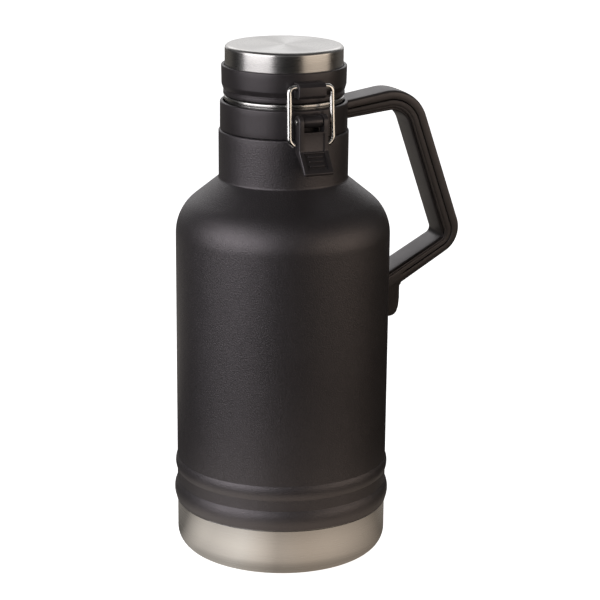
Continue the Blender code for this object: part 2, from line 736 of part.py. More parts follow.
def build():
    make_outer_shell()
    make_base_cup()
    make_inner_liner()
    make_mouth_ring()
    make_vacuum_bottom()
    make_disc("vacuum_seal", 7 * MM, 3.3 * MM, 4.5 * MM, DULL_STEEL)
    make_disc("getter", 8 * MM, 5.9 * MM, 7.9 * MM, DULL_STEEL, (25 * MM, 0))
    make_neck_collar()
    make_handle()
    make_handle_bracket()
    make_handle_screws()
    pin_piece("lever_pin", 9.6 * MM, (0, LEVER_Y, LEVER_Z))
    pin_piece("hinge_pin", 10.7 * MM, (0, HINGE_Y, HINGE_Z))
    make_lid_body()
    make_lid_cap()
    make_lid_insulation()
    make_lid_gasket()
    make_latch_catch()
    make_hinge_leaf()
    make_lid_screws()
    make_latch_lever()
    make_latch_bail()
    pivot("lever_axis", (0, LEVER_Y, LEVER_Z), ["latch_lever"])
    lid_pieces = ["lid_body", "lid_cap", "lid_insulation", "lid_gasket", "latch_catch", "hinge_leaf"]
    lid_pieces += [f"{end}_screw_{side}" for end in ("catch", "hinge") for side in ("left", "right")]
    pivot("lid_axis", (0, HINGE_Y, HINGE_Z), [*lid_pieces, "latch_bail"])
    smooth_round_pieces()


build()
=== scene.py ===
import json
import math

import bmesh
import bpy
from mathutils import Matrix, Vector


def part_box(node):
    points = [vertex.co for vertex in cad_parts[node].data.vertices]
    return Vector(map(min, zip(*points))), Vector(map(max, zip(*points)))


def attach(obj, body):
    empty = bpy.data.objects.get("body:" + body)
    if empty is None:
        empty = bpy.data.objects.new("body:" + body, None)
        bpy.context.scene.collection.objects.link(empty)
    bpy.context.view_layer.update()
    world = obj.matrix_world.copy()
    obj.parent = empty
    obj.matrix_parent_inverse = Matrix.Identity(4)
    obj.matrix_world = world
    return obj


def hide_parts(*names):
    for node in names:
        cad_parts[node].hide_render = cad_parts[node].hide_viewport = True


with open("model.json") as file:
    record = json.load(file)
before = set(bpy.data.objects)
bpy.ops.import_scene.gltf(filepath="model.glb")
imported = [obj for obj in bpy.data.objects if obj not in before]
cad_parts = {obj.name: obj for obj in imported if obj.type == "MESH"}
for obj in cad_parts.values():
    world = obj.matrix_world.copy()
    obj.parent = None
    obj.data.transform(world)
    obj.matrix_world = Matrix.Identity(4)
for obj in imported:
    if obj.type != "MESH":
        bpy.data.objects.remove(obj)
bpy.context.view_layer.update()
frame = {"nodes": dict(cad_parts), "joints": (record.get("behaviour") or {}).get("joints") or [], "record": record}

# A vacuum-insulated steel growler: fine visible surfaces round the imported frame.
# Lengths are metres. +X is the handle's side, -Y the latch's, +Y the hinge's.

MM = 0.001
TINY = 1e-7


def low(node):
    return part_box(node)[0]


def high(node):
    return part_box(node)[1]


# ---- sizes, from the frame where it gives them ----

JOINTS = {joint["name"]: joint for joint in frame["joints"]}
HINGE = Vector(JOINTS["lid_hinge"]["pos_m"])
LEVER = Vector(JOINTS["lever_pivot"]["pos_m"])
BAIL = Vector(JOINTS["bail_swing"]["pos_m"])

NECK_TOP = high("outer_shell").z
PAINT_EDGE = 28.4 * MM
BODY_R = 59.5 * MM
BODY_FOOT_R = 59.25 * MM
NECK_R = 35.8 * MM
CREASE_Z = 214.6 * MM
SHOULDER_Z = 195.3 * MM
SHOULDER_FILLET = 25.6 * MM
WALL = 0.8 * MM
BEAD_STEPS = 16
# Each bead's height on the body, half its width, and how far it stands out.
BEADS = ((50.0 * MM, 4.1 * MM, 0.95 * MM), (34.0 * MM, 5.7 * MM, 1.55 * MM))
FOOT_FILLET = 10.5 * MM

MOUTH_R = high("mouth_ring").y
MOUTH_TOP = high("mouth_ring").z
LINER_R = high("inner_liner").y
LINER_NECK_R = 30.9 * MM
LINER_BOTTOM = low("inner_liner").z
LINER_WALL = 0.6 * MM

COLLAR_R = high("neck_collar").x
COLLAR_INNER_R = 33.3 * MM
COLLAR_BOTTOM = low("neck_collar").z
COLLAR_TOP = 257.6 * MM

LID_R = high("lid_body").y
BAND_BOTTOM = 264.4 * MM
LIP_BOTTOM = 261.2 * MM
LID_TOP = high("lid_body").z
PLUG_BOTTOM = low("lid_body").z
PLUG_R = 28.6 * MM
CAP_R = high("lid_cap").y
CAP_TOP = high("lid_cap").z
CAP_BOTTOM = low("lid_cap").z

BORE_R = 1.4 * MM
KNUCKLE_R = 3.2 * MM
WELD_DISTANCE = 0.002 * MM
ROUND_STEPS = 192
SMOOTH_BELOW = math.radians(35)
CAMERA_AZIMUTH = math.radians(-22.3)


# ---- small geometry ----


def mix(a, b, share):
    return (a[0] + share * (b[0] - a[0]), a[1] + share * (b[1] - a[1]))


def mm(points):
    return [(a * MM, b * MM) for a, b in points]


def arc(centre, radius, start, end, steps):
    angles = [math.radians(start + (end - start) * i / steps) for i in range(steps + 1)]
    return [(centre[0] + radius * math.cos(a), centre[1] + radius * math.sin(a)) for a in angles]


def fillet(before, corner, after, radius, steps=8):
    """Points of the arc that rounds a corner between two straight lines."""
    here = Vector(corner)
    back = (Vector(before) - here).normalized()
    on = (Vector(after) - here).normalized()
    half = back.angle(on) / 2
    start = here + back * (radius / math.tan(half))
    centre = here + (back + on).normalized() * (radius / math.sin(half))
    spoke = start - centre
    turn = spoke.angle_signed(here + on * (radius / math.tan(half)) - centre)
    return [tuple(centre + Matrix.Rotation(-turn * i / steps, 2) @ spoke) for i in range(steps + 1)]


def rounded_line(corners, radii, steps=6):
    """An open line through corners, each rounded by its radius; 0 keeps a corner sharp."""
    line = [corners[0]]
    for i, radius in enumerate(radii, start=1):
        if radius:
            line += fillet(corners[i - 1], corners[i], corners[i + 1], radius, steps)
        else:
            line.append(corners[i])
    line.append(corners[-1])
    return line


def split_long(line, longest):
    """Adds points along long straight stretches, so that shading and bending stay even."""
    made = [line[0]]
    for a, b in zip(line, line[1:]):
        count = max(1, math.ceil(math.dist(a, b) / longest))
        made += [mix(a, b, i / count) for i in range(1, count + 1)]
    return made


def offset_line(line, distance):
    """The line moved sideways to the right of its direction by a distance."""
    made = []
    for i, point in enumerate(line):
        ahead = Vector(line[min(i + 1, len(line) - 1)]) - Vector(line[max(i - 1, 0)])
        side = Vector((ahead.y, -ahead.x)).normalized()
        made.append(tuple(Vector(point) + side * distance))
    return made


def linked(name, data):
    """A new object in the scene."""
    made = bpy.data.objects.new(name, data)
    bpy.context.scene.collection.objects.link(made)
    return made


def add_piece(name, mesh, body, node, finish=None):
    """Makes a mesh ride on a body and stand for a CAD node, in the node's finish or another."""
    mesh.materials.clear()
    mesh.materials.append(FINISH[finish or SLOT_OF[node]])
    mesh.shade_smooth()
    mesh.set_sharp_from_angle(angle=SMOOTH_BELOW)
    piece = linked(name, mesh)
    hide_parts(node)
    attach(piece, body)


def mesh_from(shape, name):
    """Finishes a bmesh as a mesh, with its faces turned outward."""
    bmesh.ops.recalc_face_normals(shape, faces=shape.faces)
    mesh = bpy.data.meshes.new(name)
    shape.to_mesh(mesh)
    shape.free()
    return mesh


def turned_mesh(name, profile, steps=ROUND_STEPS, closed=True):
    """Turns a (radius, height) profile round Z. Points on the axis become one vertex."""
    shape = bmesh.new()
    rings = []
    for radius, height in profile:
        if radius < TINY:
            rings.append([shape.verts.new((0, 0, height))])
            continue
        ring = []
        for i in range(steps):
            angle = 2 * math.pi * i / steps
            ring.append(shape.verts.new((radius * math.cos(angle), radius * math.sin(angle), height)))
        rings.append(ring)
    pairs = list(zip(rings, rings[1:]))
    if closed and profile[0][0] > TINY:
        pairs.append((rings[-1], rings[0]))
    for upper, lower in pairs:
        if len(upper) == 1 and len(lower) == 1:
            continue
        for i in range(steps):
            corners = [upper[i % len(upper)], lower[i % len(lower)]]
            if len(lower) > 1:
                corners.append(lower[(i + 1) % steps])
            if len(upper) > 1:
                corners.append(upper[(i + 1) % steps])
            shape.faces.new(corners)
    return mesh_from(shape, name)


def to_world(axis, a, b, across):
    """A point of a side view: (x, z) with its thickness along Y, or (y, z) along X."""
    return (a, across, b) if axis == "Y" else (across, a, b)


def prism_shape(outline, half_width, axis, centre=0.0):
    """A flat outline given thickness along X or Y."""
    shape = bmesh.new()
    sides = []
    for across in (centre - half_width, centre + half_width):
        sides.append([shape.verts.new(to_world(axis, a, b, across)) for a, b in outline])
    shape.faces.new(sides[0])
    shape.faces.new(list(reversed(sides[1])))
    count = len(outline)
    for i in range(count):
        j = (i + 1) % count
        shape.faces.new((sides[0][i], sides[1][i], sides[1][j], sides[0][j]))
    bmesh.ops.recalc_face_normals(shape, faces=shape.faces)
    return shape


def bevel_rims(shape, axis, half_width, width, segments, wanted=None, centre=0.0):
    """Rounds the edges round both flat sides, or only those whose midpoint is wanted."""
    across = 1 if axis == "Y" else 0
    chosen = []
    for edge in shape.edges:
        start, end = (v.co for v in edge.verts)
        gaps = [abs(abs(point[across] - centre) - half_width) for point in (start, end)]
        if max(gaps) < TINY and abs(start[across] - end[across]) < TINY:
            if wanted is None or wanted((start + end) / 2):
                chosen.append(edge)
    bmesh.ops.bevel(
        shape, geom=chosen, offset=width, segments=segments, profile=0.5, affect="EDGES",
        clamp_overlap=True,
    )


def prism_mesh(name, outline, half_width, axis, bevel=0.0, segments=4, centre=0.0):
    shape = prism_shape(outline, half_width, axis, centre)
    if bevel:
        bevel_rims(shape, axis, half_width, bevel, segments, centre=centre)
    return mesh_from(shape, name)


def rod_mesh(name, radius, start, end, steps=48):
    """A plain cylinder between two points, used as a cutter."""
    start, end = Vector(start), Vector(end)
    shape = bmesh.new()
    bmesh.ops.create_cone(
        shape, cap_ends=True, segments=steps, radius1=radius, radius2=radius,
        depth=(end - start).length,
    )
    turn = (end - start).to_track_quat("Z", "Y").to_matrix().to_4x4()
    place = Matrix.Translation((start + end) / 2)
    bmesh.ops.transform(shape, matrix=place @ turn, verts=shape.verts)
    return mesh_from(shape, name)


def upright_rod(radius, bottom, top, steps=192):
    """A cutter on the bottle's axis."""
    return rod_mesh("clear", radius, (0, 0, bottom), (0, 0, top), steps)


def pin_bore(pin, reach):
    """A cutter along X through a pin's place."""
    return rod_mesh("bore", BORE_R, (-reach, pin.y, pin.z), (reach, pin.y, pin.z))


def booleaned(mesh, joins=(), cuts=()):
    """The mesh with others joined to it and then cut from it."""
    holder = linked("holder", mesh)
    helpers = []
    for operation, others in (("UNION", joins), ("DIFFERENCE", cuts)):
        for other in others:
            helpers.append(linked("helper", other))
            step = holder.modifiers.new("step", "BOOLEAN")
            step.operation = operation
            step.solver = "EXACT"
            step.object = helpers[-1]
    bpy.context.view_layer.update()
    graph = bpy.context.evaluated_depsgraph_get()
    made = bpy.data.meshes.new_from_object(holder.evaluated_get(graph))
    for helper in [holder, *helpers]:
        bpy.data.objects.remove(helper, do_unlink=True)
    made.name = mesh.name
    shape = bmesh.new()
    shape.from_mesh(made)
    bmesh.ops.remove_doubles(shape, verts=shape.verts, dist=WELD_DISTANCE)
    bmesh.ops.dissolve_degenerate(shape, edges=shape.edges, dist=WELD_DISTANCE)
    shape.to_mesh(made)
    shape.free()
    return made


def around(angle_deg, distance, height):
    """A place seen from the object at an angle to the right of the camera."""
    to_camera = Vector((math.sin(CAMERA_AZIMUTH), -math.cos(CAMERA_AZIMUTH), 0))
    to_right = Vector((math.cos(CAMERA_AZIMUTH), math.sin(CAMERA_AZIMUTH), 0))
    angle = math.radians(angle_deg)
    flat = to_camera * math.cos(angle) + to_right * math.sin(angle)
    return flat * distance + Vector((0, 0, height))


# ---- materials ----


class Nodes:
    """Builds a node tree, node by node."""

    def __init__(self, tree):
        self.tree = tree

    def add(self, kind, inputs=None, **settings):
        node = self.tree.nodes.new(kind)
        for key, value in settings.items():
            setattr(node, key, value)
        for key, value in (inputs or {}).items():
            self.feed(node.inputs[key], value)
        return node

    def feed(self, socket, value):
        if isinstance(value, bpy.types.NodeSocket):
            self.tree.links.new(value, socket)
        else:
            socket.default_value = value

    def calc(self, operation, a, b=0.0):
        return self.add("ShaderNodeMath", {0: a, 1: b}, operation=operation).outputs[0]

    def times(self, a, b):
        return self.calc("MULTIPLY", a, b)

    def plus(self, a, b):
        return self.calc("ADD", a, b)

    def span(self, value, low_in, high_in, low_out, high_out):
        """Maps one range of values onto another, and stays inside it."""
        inputs = {
            "Value": value, "From Min": low_in, "From Max": high_in,
            "To Min": low_out, "To Max": high_out,
        }
        return self.add("ShaderNodeMapRange", inputs).outputs["Result"]

    def vector(self, operation, *inputs):
        return self.add("ShaderNodeVectorMath", dict(enumerate(inputs)), operation=operation).outputs


class Finish(Nodes):
    """One material in object space, so that its scale is in metres."""

    def __init__(self, name):
        self.material = bpy.data.materials.new(name)
        self.material.use_nodes = True
        super().__init__(self.material.node_tree)
        self.shader = self.tree.nodes["Principled BSDF"]
        self.place = self.add("ShaderNodeTexCoord").outputs["Object"]

    def noise(self, scale, detail=2.0, rough=0.5, vector=None, w=None):
        """Noise whose scale is in cells per metre, unless a vector is given."""
        inputs = {"Vector": vector or self.place, "Scale": scale, "Detail": detail, "Roughness": rough}
        if w is not None:
            inputs["W"] = w
        kind = "3D" if w is None else "4D"
        return self.add("ShaderNodeTexNoise", inputs, noise_dimensions=kind).outputs[0]

    def blend(self, share, a, b):
        """A colour between two others."""
        made = self.add("ShaderNodeMix", data_type="RGBA")
        self.feed(made.inputs[0], share)
        self.feed(made.inputs[6], a if isinstance(a, bpy.types.NodeSocket) else (*a, 1))
        self.feed(made.inputs[7], b if isinstance(b, bpy.types.NodeSocket) else (*b, 1))
        return made.outputs[2]

    def bump(self, height, distance, strength=1.0):
        inputs = {"Height": height, "Distance": distance, "Strength": strength}
        return self.add("ShaderNodeBump", inputs).outputs["Normal"]

    def parts(self):
        return self.add("ShaderNodeSeparateXYZ", {0: self.place}).outputs

    def along(self, x, y, direction):
        """How far a place lies along a level direction."""
        return self.plus(self.times(x, direction[0]), self.times(y, direction[1]))

    def length(self, x, y):
        return self.calc("SQRT", self.plus(self.times(x, x), self.times(y, y)))

    def join(self, x, y, z):
        return self.add("ShaderNodeCombineXYZ", {0: x, 1: y, 2: z}).outputs[0]

    def edge_wear(self):
        """A share from 0 to 1 that rises along convex edges."""
        pointiness = self.add("ShaderNodeNewGeometry").outputs["Pointiness"]
        return self.span(pointiness, 0.52, 0.60, 0.0, 1.0)

    def set(self, **values):
        names = {
            "colour": "Base Color", "rough": "Roughness", "metal": "Metallic",
            "normal": "Normal", "shine": "Specular IOR Level", "shine_tint": "Specular Tint",
            "aniso": "Anisotropic", "tangent": "Tangent", "turn": "Anisotropic Rotation",
            "sheen": "Sheen Weight",
        }
        for key, value in values.items():
            self.feed(self.shader.inputs[names[key]], value)
        return self.material


BLACK_SHEEN = (1.0, 0.93, 0.985, 1.0)     # tint of the light that black finishes reflect


def powder_coat():
    """Matt black powder coat: fine pebbled grain over slow, faint changes of shade."""
    f = Finish("powder_coat_black")
    slow = f.noise(24, 3)
    grain = f.noise(1350, 2, 0.6)
    fine = f.noise(3200, 2, 0.6)
    fleck = f.span(f.noise(1500, 1), 0.55, 0.72, 0.0, 1.0)
    shade = f.blend(slow, (0.0215, 0.0197, 0.0210), (0.0252, 0.0232, 0.0246))
    colour = f.blend(f.times(fleck, 0.5), shade, (0.040, 0.038, 0.040))
    rough = f.plus(f.span(grain, 0.3, 0.7, 0.37, 0.46), f.span(slow, 0.3, 0.7, -0.02, 0.02))
    height = f.plus(grain, f.times(fine, 0.4))
    normal = f.bump(height, 0.18 * MM, 1.0)
    return f.set(
        colour=colour, rough=rough, normal=normal, metal=0.0, shine=1.05, shine_tint=BLACK_SHEEN
    )


WHITE = (1.0, 1.0, 1.0)
GREY = (0.2, 0.2, 0.2)
# Painted highlight and painted shade on the spun cap: angle from the camera, sharpness, share, colour.
PAINTED_SPOKES = ((-14, 9.0, 1.0, WHITE), (22, 12.0, 0.9, GREY), (-48, 8.0, 0.6, GREY))


def paint_spokes(f, colour, round_x, round_y, amount):
    """Paints highlight on a colour along one line through the axis, and painted shade along two others, at angles
    set from the camera.
    """
    for angle, sharpness, share, shade in PAINTED_SPOKES:
        line = f.calc("ABSOLUTE", f.along(round_x, round_y, around(angle, 1, 0)))
        spoke = f.calc("POWER", line, sharpness)
        colour = f.blend(f.times(f.times(spoke, share), amount), colour, shade)
    return colour


LINES_PER_M = 5200
BANDS_PER_M = 900


def turned_noise(f, outward, z, radius, along, per_metre, detail, rough):
    """Noise drawn out round the axis, and fine across it on walls and flat faces alike."""
    lines = f.join(*(f.times(part, along) for part in outward), f.times(z, per_metre))
    return f.noise(1.0, detail, rough, vector=lines, w=f.times(radius, per_metre))


def brushed_steel(name, tint, polish=0.25, painted_spoke_amount=0.0):
    """Steel brushed round the bottle's axis.

    The last argument, above 0, paints faint spokes of highlight and shade on a spun face, set at angles from the
    camera, fading out at its rim.
    """
    f = Finish(name)
    x, y, z = f.parts()
    radius = f.length(x, y)
    outward = [f.calc("DIVIDE", part, f.calc("MAXIMUM", radius, 1e-4)) for part in (x, y)]
    fine = turned_noise(f, outward, z, radius, 1.6, LINES_PER_M, 3, 0.7)
    broad = turned_noise(f, outward, z, radius, 0.9, BANDS_PER_M, 2, 0.6)
    dark = tuple(0.965 * c for c in tint)
    colour = f.blend(f.span(fine, 0.35, 0.65, 0.0, 1.0), dark, tint)
    # Painted spokes of highlight and shade, standing in for the spun face's reflections.
    if painted_spoke_amount:
        colour = paint_spokes(f, colour, *outward, f.span(radius, 0.8 * CAP_R, 0.93 * CAP_R, painted_spoke_amount, 0.0))
    streak = f.plus(f.times(fine, 0.7), f.times(broad, 0.3))
    rough = f.span(streak, 0.3, 0.7, polish - 0.03, polish + 0.04)
    normal = f.bump(streak, 0.003 * MM, 0.35)
    tangent = f.add("ShaderNodeTangent", direction_type="RADIAL", axis="Z").outputs[0]
    return f.set(
        colour=colour, rough=rough, normal=normal, metal=1.0, aniso=0.42, tangent=tangent, turn=0.25
    )


def plain_steel():
    """Pressed or turned steel with a cloudy, lightly scratched face."""
    f = Finish("plain_steel")
    cloud = f.noise(160, 4, 0.6)
    scratch = f.noise(2400, 2, 0.7)
    colour = f.blend(cloud, (0.42, 0.41, 0.40), (0.56, 0.55, 0.53))
    rough = f.span(cloud, 0.3, 0.7, 0.26, 0.40)
    return f.set(colour=colour, rough=rough, normal=f.bump(scratch, 0.008 * MM, 0.4), metal=1.0)


def polished_wire():
    """Bright drawn wire with faint lines from the die."""
    f = Finish("polished_wire")
    drawn = f.noise(900, 3, 0.6)
    colour = f.blend(drawn, (0.80, 0.79, 0.77), (0.93, 0.92, 0.90))
    rough = f.span(drawn, 0.3, 0.7, 0.19, 0.29)
    return f.set(colour=colour, rough=rough, normal=f.bump(drawn, 0.01 * MM, 0.25), metal=1.0)


def moulded(name, dark, light, rough_low, rough_high, grain_scale=2600, grain_depth=0.02, shine=0.5):
    """Black moulded plastic: spark-eroded grain, faint flow marks and paler, rubbed edges."""
    f = Finish(name)
    flow = f.noise(70, 3, 0.6)
    grain = f.noise(grain_scale, 2, 0.6)
    fine = f.noise(grain_scale * 2.7, 1, 0.5)
    body = f.blend(flow, dark, light)
    rubbed = tuple(1.9 * c for c in light)
    colour = f.blend(f.times(f.edge_wear(), 0.55), body, rubbed)
    rough = f.plus(f.span(grain, 0.3, 0.7, rough_low, rough_high), f.span(flow, 0.3, 0.7, -0.03, 0.03))
    height = f.plus(grain, f.times(fine, 0.5))
    return f.set(
        colour=colour, rough=rough, normal=f.bump(height, grain_depth * MM, 0.7), shine=shine,
        shine_tint=BLACK_SHEEN,
    )


def silicone():
    f = Finish("silicone_black")
    cloud = f.noise(220, 3)
    colour = f.blend(cloud, (0.014, 0.014, 0.014), (0.024, 0.023, 0.023))
    return f.set(
        colour=colour, rough=f.span(cloud, 0.3, 0.7, 0.6, 0.75),
        normal=f.bump(f.noise(1800, 2), 0.01 * MM, 0.5), sheen=0.15,
    )


def foam():
    f = Finish("insulating_foam")
    cells = f.add("ShaderNodeTexVoronoi", {"Vector": f.place, "Scale": 900.0}).outputs["Distance"]
    colour = f.blend(f.noise(60, 3), (0.70, 0.66, 0.54), (0.84, 0.81, 0.72))
    return f.set(colour=colour, rough=0.95, normal=f.bump(cells, 0.3 * MM, 0.8))


STEEL = (0.58, 0.57, 0.56)
FINISH = {
    "powder_coat_black": powder_coat(),
    "brushed_steel": brushed_steel("brushed_steel", STEEL),
    # The cap's spun steel, with spokes of painted highlight and painted shade on its top.
    "spun_steel": brushed_steel("spun_steel", STEEL, polish=0.28, painted_spoke_amount=0.32),
    "plain_steel": plain_steel(),
    "moulded_plastic_black": moulded(
        "moulded_plastic_black", (0.024, 0.0215, 0.0225), (0.031, 0.028, 0.029), 0.36, 0.44, shine=0.75
    ),
    "grip_black": moulded(
        "grip_black", (0.030, 0.027, 0.0255), (0.038, 0.034, 0.032), 0.36, 0.44, 1900, 0.03, shine=0.8
    ),
    "polished_wire": polished_wire(),
    "silicone_black": silicone(),
    "insulating_foam": foam(),
}
SLOT_OF = {part["node"]: part["material_slot"] for part in frame["record"]["subparts"]}


# ---- the steel bottle ----


def bead_line(centre, half, bulge):
    """A rolled bead: a shallow arc between two tight inside corners, from top to bottom."""
    radius = (half * half + bulge * bulge) / (2 * bulge)
    spread = math.degrees(math.asin(half / radius))
    arc_points = arc((BODY_FOOT_R + bulge - radius, centre), radius, spread, -spread, BEAD_STEPS)
    above = (BODY_FOOT_R, centre + half + 2 * MM)
    below = (BODY_FOOT_R, centre - half - 2 * MM)
    root = 0.7 * MM
    top = fillet(above, arc_points[0], arc_points[1 + BEAD_STEPS // 5], root, 5)
    bottom = fillet(arc_points[-2 - BEAD_STEPS // 5], arc_points[-1], below, root, 5)
    middle = [p for p in arc_points if bottom[0][1] + 0.1 * MM < p[1] < top[-1][1] - 0.1 * MM]
    return [*top, *middle, *bottom]


def make_outer_shell():
    """The painted wall, from the rolled lip at the neck to the rolled edge of the paint."""
    crease = (NECK_R - 0.1 * MM, CREASE_Z)
    shoulder = (BODY_R, SHOULDER_Z)
    lip = (MOUTH_R + 0.3 * MM, NECK_TOP)
    line = [lip]
    line += fillet(lip, (NECK_R, NECK_TOP), crease, 1.1 * MM, 8)
    line += fillet((NECK_R, NECK_TOP), crease, shoulder, 1.6 * MM, 8)
    line += fillet(crease, shoulder, (BODY_R, 100 * MM), SHOULDER_FILLET, 28)
    line += [(BODY_R, 177 * MM), (BODY_FOOT_R, 57 * MM)]
    for spec in BEADS:
        line += bead_line(*spec)
    edge = PAINT_EDGE + 0.15 * MM
    line = [p for p in line if p[1] > edge + 0.5 * MM]
    foot = (line[-1][0] - 0.1 * MM, edge)
    rolled = fillet(line[-1], foot, (foot[0] - WALL, edge), 0.45 * MM, 5)
    inner = offset_line(split_long([*line, foot], 5 * MM), WALL)
    mesh = turned_mesh("body_shell", [*split_long([*line, *rolled], 5 * MM), *reversed(inner)], 256)
    add_piece("body_shell", mesh, "bottle", "outer_shell")


def make_base_cup():
    """The bare steel base, with a fine step under the paint and a pressed ring below."""
    edge = (BODY_FOOT_R - 0.15 * MM, PAINT_EDGE)
    line = [(edge[0] - 0.45 * MM, PAINT_EDGE), (edge[0] - 0.45 * MM, PAINT_EDGE - 0.35 * MM)]
    line += [(edge[0] - 0.08 * MM, PAINT_EDGE - 0.45 * MM), (edge[0], PAINT_EDGE - 0.55 * MM)]
    line += [(edge[0], 22 * MM), (edge[0], 16 * MM)]
    line += fillet(edge, (edge[0], 0), (0, 0), FOOT_FILLET, 16)
    pressed = [(44, 0), (43, 0.8), (36, 0.8), (35, 0)]
    line += rounded_line(mm([(47, 0), *pressed, (32, 0)]), [1.2 * MM] * 4, 4)
    line += mm([(24, 0), (12, 0), (4, 0)])
    profile = [*line, (0, 0), (0, WALL), *reversed(offset_line(line, WALL))]
    mesh = turned_mesh("base_shell", profile, 256)
    add_piece("base_shell", mesh, "bottle", "base_cup")


def make_inner_liner():
    """The inner bottle, which shows when the lid is open."""
    neck_foot = (LINER_NECK_R, 212.2 * MM)
    shoulder = (LINER_R, 192.9 * MM)
    foot = (LINER_R, LINER_BOTTOM)
    line = [(LINER_NECK_R, MOUTH_TOP - 0.4 * MM)]
    line += fillet(line[0], neck_foot, shoulder, 4 * MM, 8)
    line += fillet(neck_foot, shoulder, foot, 21 * MM, 16)
    line += fillet(shoulder, foot, (0, LINER_BOTTOM), 9 * MM, 12)
    line.append((3 * MM, LINER_BOTTOM))
    line = split_long(line, 8 * MM)
    inner = offset_line(line, LINER_WALL)
    profile = [*line, (0, LINER_BOTTOM), (0, LINER_BOTTOM + LINER_WALL), *reversed(inner)]
    mesh = turned_mesh("liner_shell", profile, 128)
    add_piece("liner_shell", mesh, "bottle", "inner_liner")


def make_mouth_ring():
    """The bare steel lip, waisted above the collar."""
    inner = LINER_NECK_R + 0.3 * MM
    foot = low("mouth_ring").z
    top = MOUTH_TOP - 0.3 * MM
    waist = MOUTH_R - 0.7 * MM
    under = COLLAR_TOP + 1.1 * MM
    corners = [
        (inner, foot), (inner, top), (MOUTH_R, top), (MOUTH_R, under), (waist, under - 0.4 * MM),
        (waist, foot),
    ]
    profile = rounded_line(corners, [0.4 * MM, 0.9 * MM, 0.25 * MM, 0.15 * MM], 8)
    mesh = turned_mesh("mouth_lip", profile)
    add_piece("mouth_lip", mesh, "bottle", "mouth_ring")


# ---- the collar ----


def boss_outline():
    """Side view of the boss that carries the lever."""
    nose_r = 3.3 * MM
    root = -33.8 * MM
    nose = arc((LEVER.y, LEVER.z), nose_r, 90, 270, 24)
    return [(root, LEVER.z + nose_r), *nose, (root, LEVER.z - nose_r)]


def lug_outline():
    """Side view of a hinge lug, with its swept foot."""
    root = 33.0 * MM
    nose = arc((HINGE.y, HINGE.z), KNUCKLE_R, -20, 180, 28)
    sweep = rounded_line(
        [nose[-1], (36.3 * MM, 258.6 * MM), (root, 255.5 * MM)], [1.2 * MM], 5
    )[1:]
    foot = mm([(33.0, 247.4), (38.5, 247.4)])
    return [*nose, *sweep, *foot]


def make_neck_collar():
    """The collar with its boss and two lugs, bored for both pins."""
    corners = [
        (COLLAR_INNER_R, COLLAR_BOTTOM),
        (COLLAR_INNER_R, COLLAR_TOP),
        (COLLAR_R, COLLAR_TOP),
        (COLLAR_R, COLLAR_BOTTOM),
    ]
    profile = rounded_line([*corners, corners[0]], [0.4 * MM, 1.0 * MM, 0.25 * MM], 7)[:-1]
    ring = turned_mesh("collar_ring", split_long(profile, 3 * MM))
    boss = prism_mesh("boss", boss_outline(), 5.45 * MM, "X", 0.35 * MM)
    lugs = [
        prism_mesh("lug", lug_outline(), 1.9 * MM, "X", 0.4 * MM, centre=side * 7.8 * MM)
        for side in (-1, 1)
    ]
    bores = [pin_bore(LEVER, 9 * MM), pin_bore(HINGE, 14 * MM)]
    mesh = booleaned(ring, joins=[boss, *lugs], cuts=bores)
    add_piece("collar_ring", mesh, "bottle", "neck_collar")


# ---- the handle ----

HANDLE_HALF_W = high("handle_frame").y
HANDLE_INNER = mm([(33.0, 245.8), (68.8, 249.7), (94.7, 174.6), (57.5, 154.4)])
HANDLE_OUTER = mm([(33.0, 256.1), (76.2, 263.1), (108.0, 171.9), (67.8, 148.5)])
INNER_FILLETS = (11.5 * MM, 3.2 * MM)
OUTER_FILLETS = (23.0 * MM, 15.5 * MM)
DEPTH = 11.4 * MM
SEAM = 0.545                # where the seam lies, as a share of the depth
SEAM_GAP = 0.46 * MM
CLEARANCE = 0.05 * MM       # between the handle and what it touches
GROOVE_END_X = 68.9 * MM
GRIP_END_X = high("handle_screw_lower").x + 0.5 * MM
ROOT_X = 57 * MM            # inside the bottle's wall, to be cut back to it
TAB_FACE_X = 67.8 * MM
TAB_BOTTOM = low("handle_frame").z
CORNER_STEPS = 24


def handle_line(share):
    """The line round the handle at this share of its depth, and its lower straight's ends."""
    corners = [mix(a, b, share) for a, b in zip(HANDLE_INNER, HANDLE_OUTER)]
    radii = [a + share * (b - a) for a, b in zip(INNER_FILLETS, OUTER_FILLETS)]
    line = [corners[0]]
    line += fillet(corners[0], corners[1], corners[2], radii[0], CORNER_STEPS)
    line += fillet(corners[1], corners[2], corners[3], radii[1], CORNER_STEPS)
    return line, corners[2:]


def at_x(start, end, x):
    """The point at this x on a straight line."""
    return mix(start, end, (x - start[0]) / (end[0] - start[0]))


def seam_fillet(groove):
    """The radius at the seam's edge, where the groove is open at 1 and closed at 0."""
    return (0.02 + 0.42 * groove) * MM


def grip_section(groove):
    """Half the grip's section as (depth from the inner face, half width), out to the seam."""
    w = HANDLE_HALF_W
    line = mm([(0, 0), (0.04, 3), (0.14, 6), (0.25, 7.6)])
    line += mm([(0.36, 8.35), (0.56, 8.85), (0.8, 9.05), (0.86, 8.9), (0.92, 8.2)])
    line += mm([(1.5, 8.2), (1.56, 8.95), (1.66, 9.12), (1.85, 9.25), (2.3, 9.3)])
    line += mm([(2.5, 9.12), (2.9, 9.12), (3.15, 9.4), (3.4, 9.46)])
    line += [(4.4 * MM, w), (5.6 * MM, w)]
    end = SEAM * DEPTH - SEAM_GAP / 2 * groove
    return line + fillet((4 * MM, w), (end, w), (end, 0), seam_fillet(groove), 5)


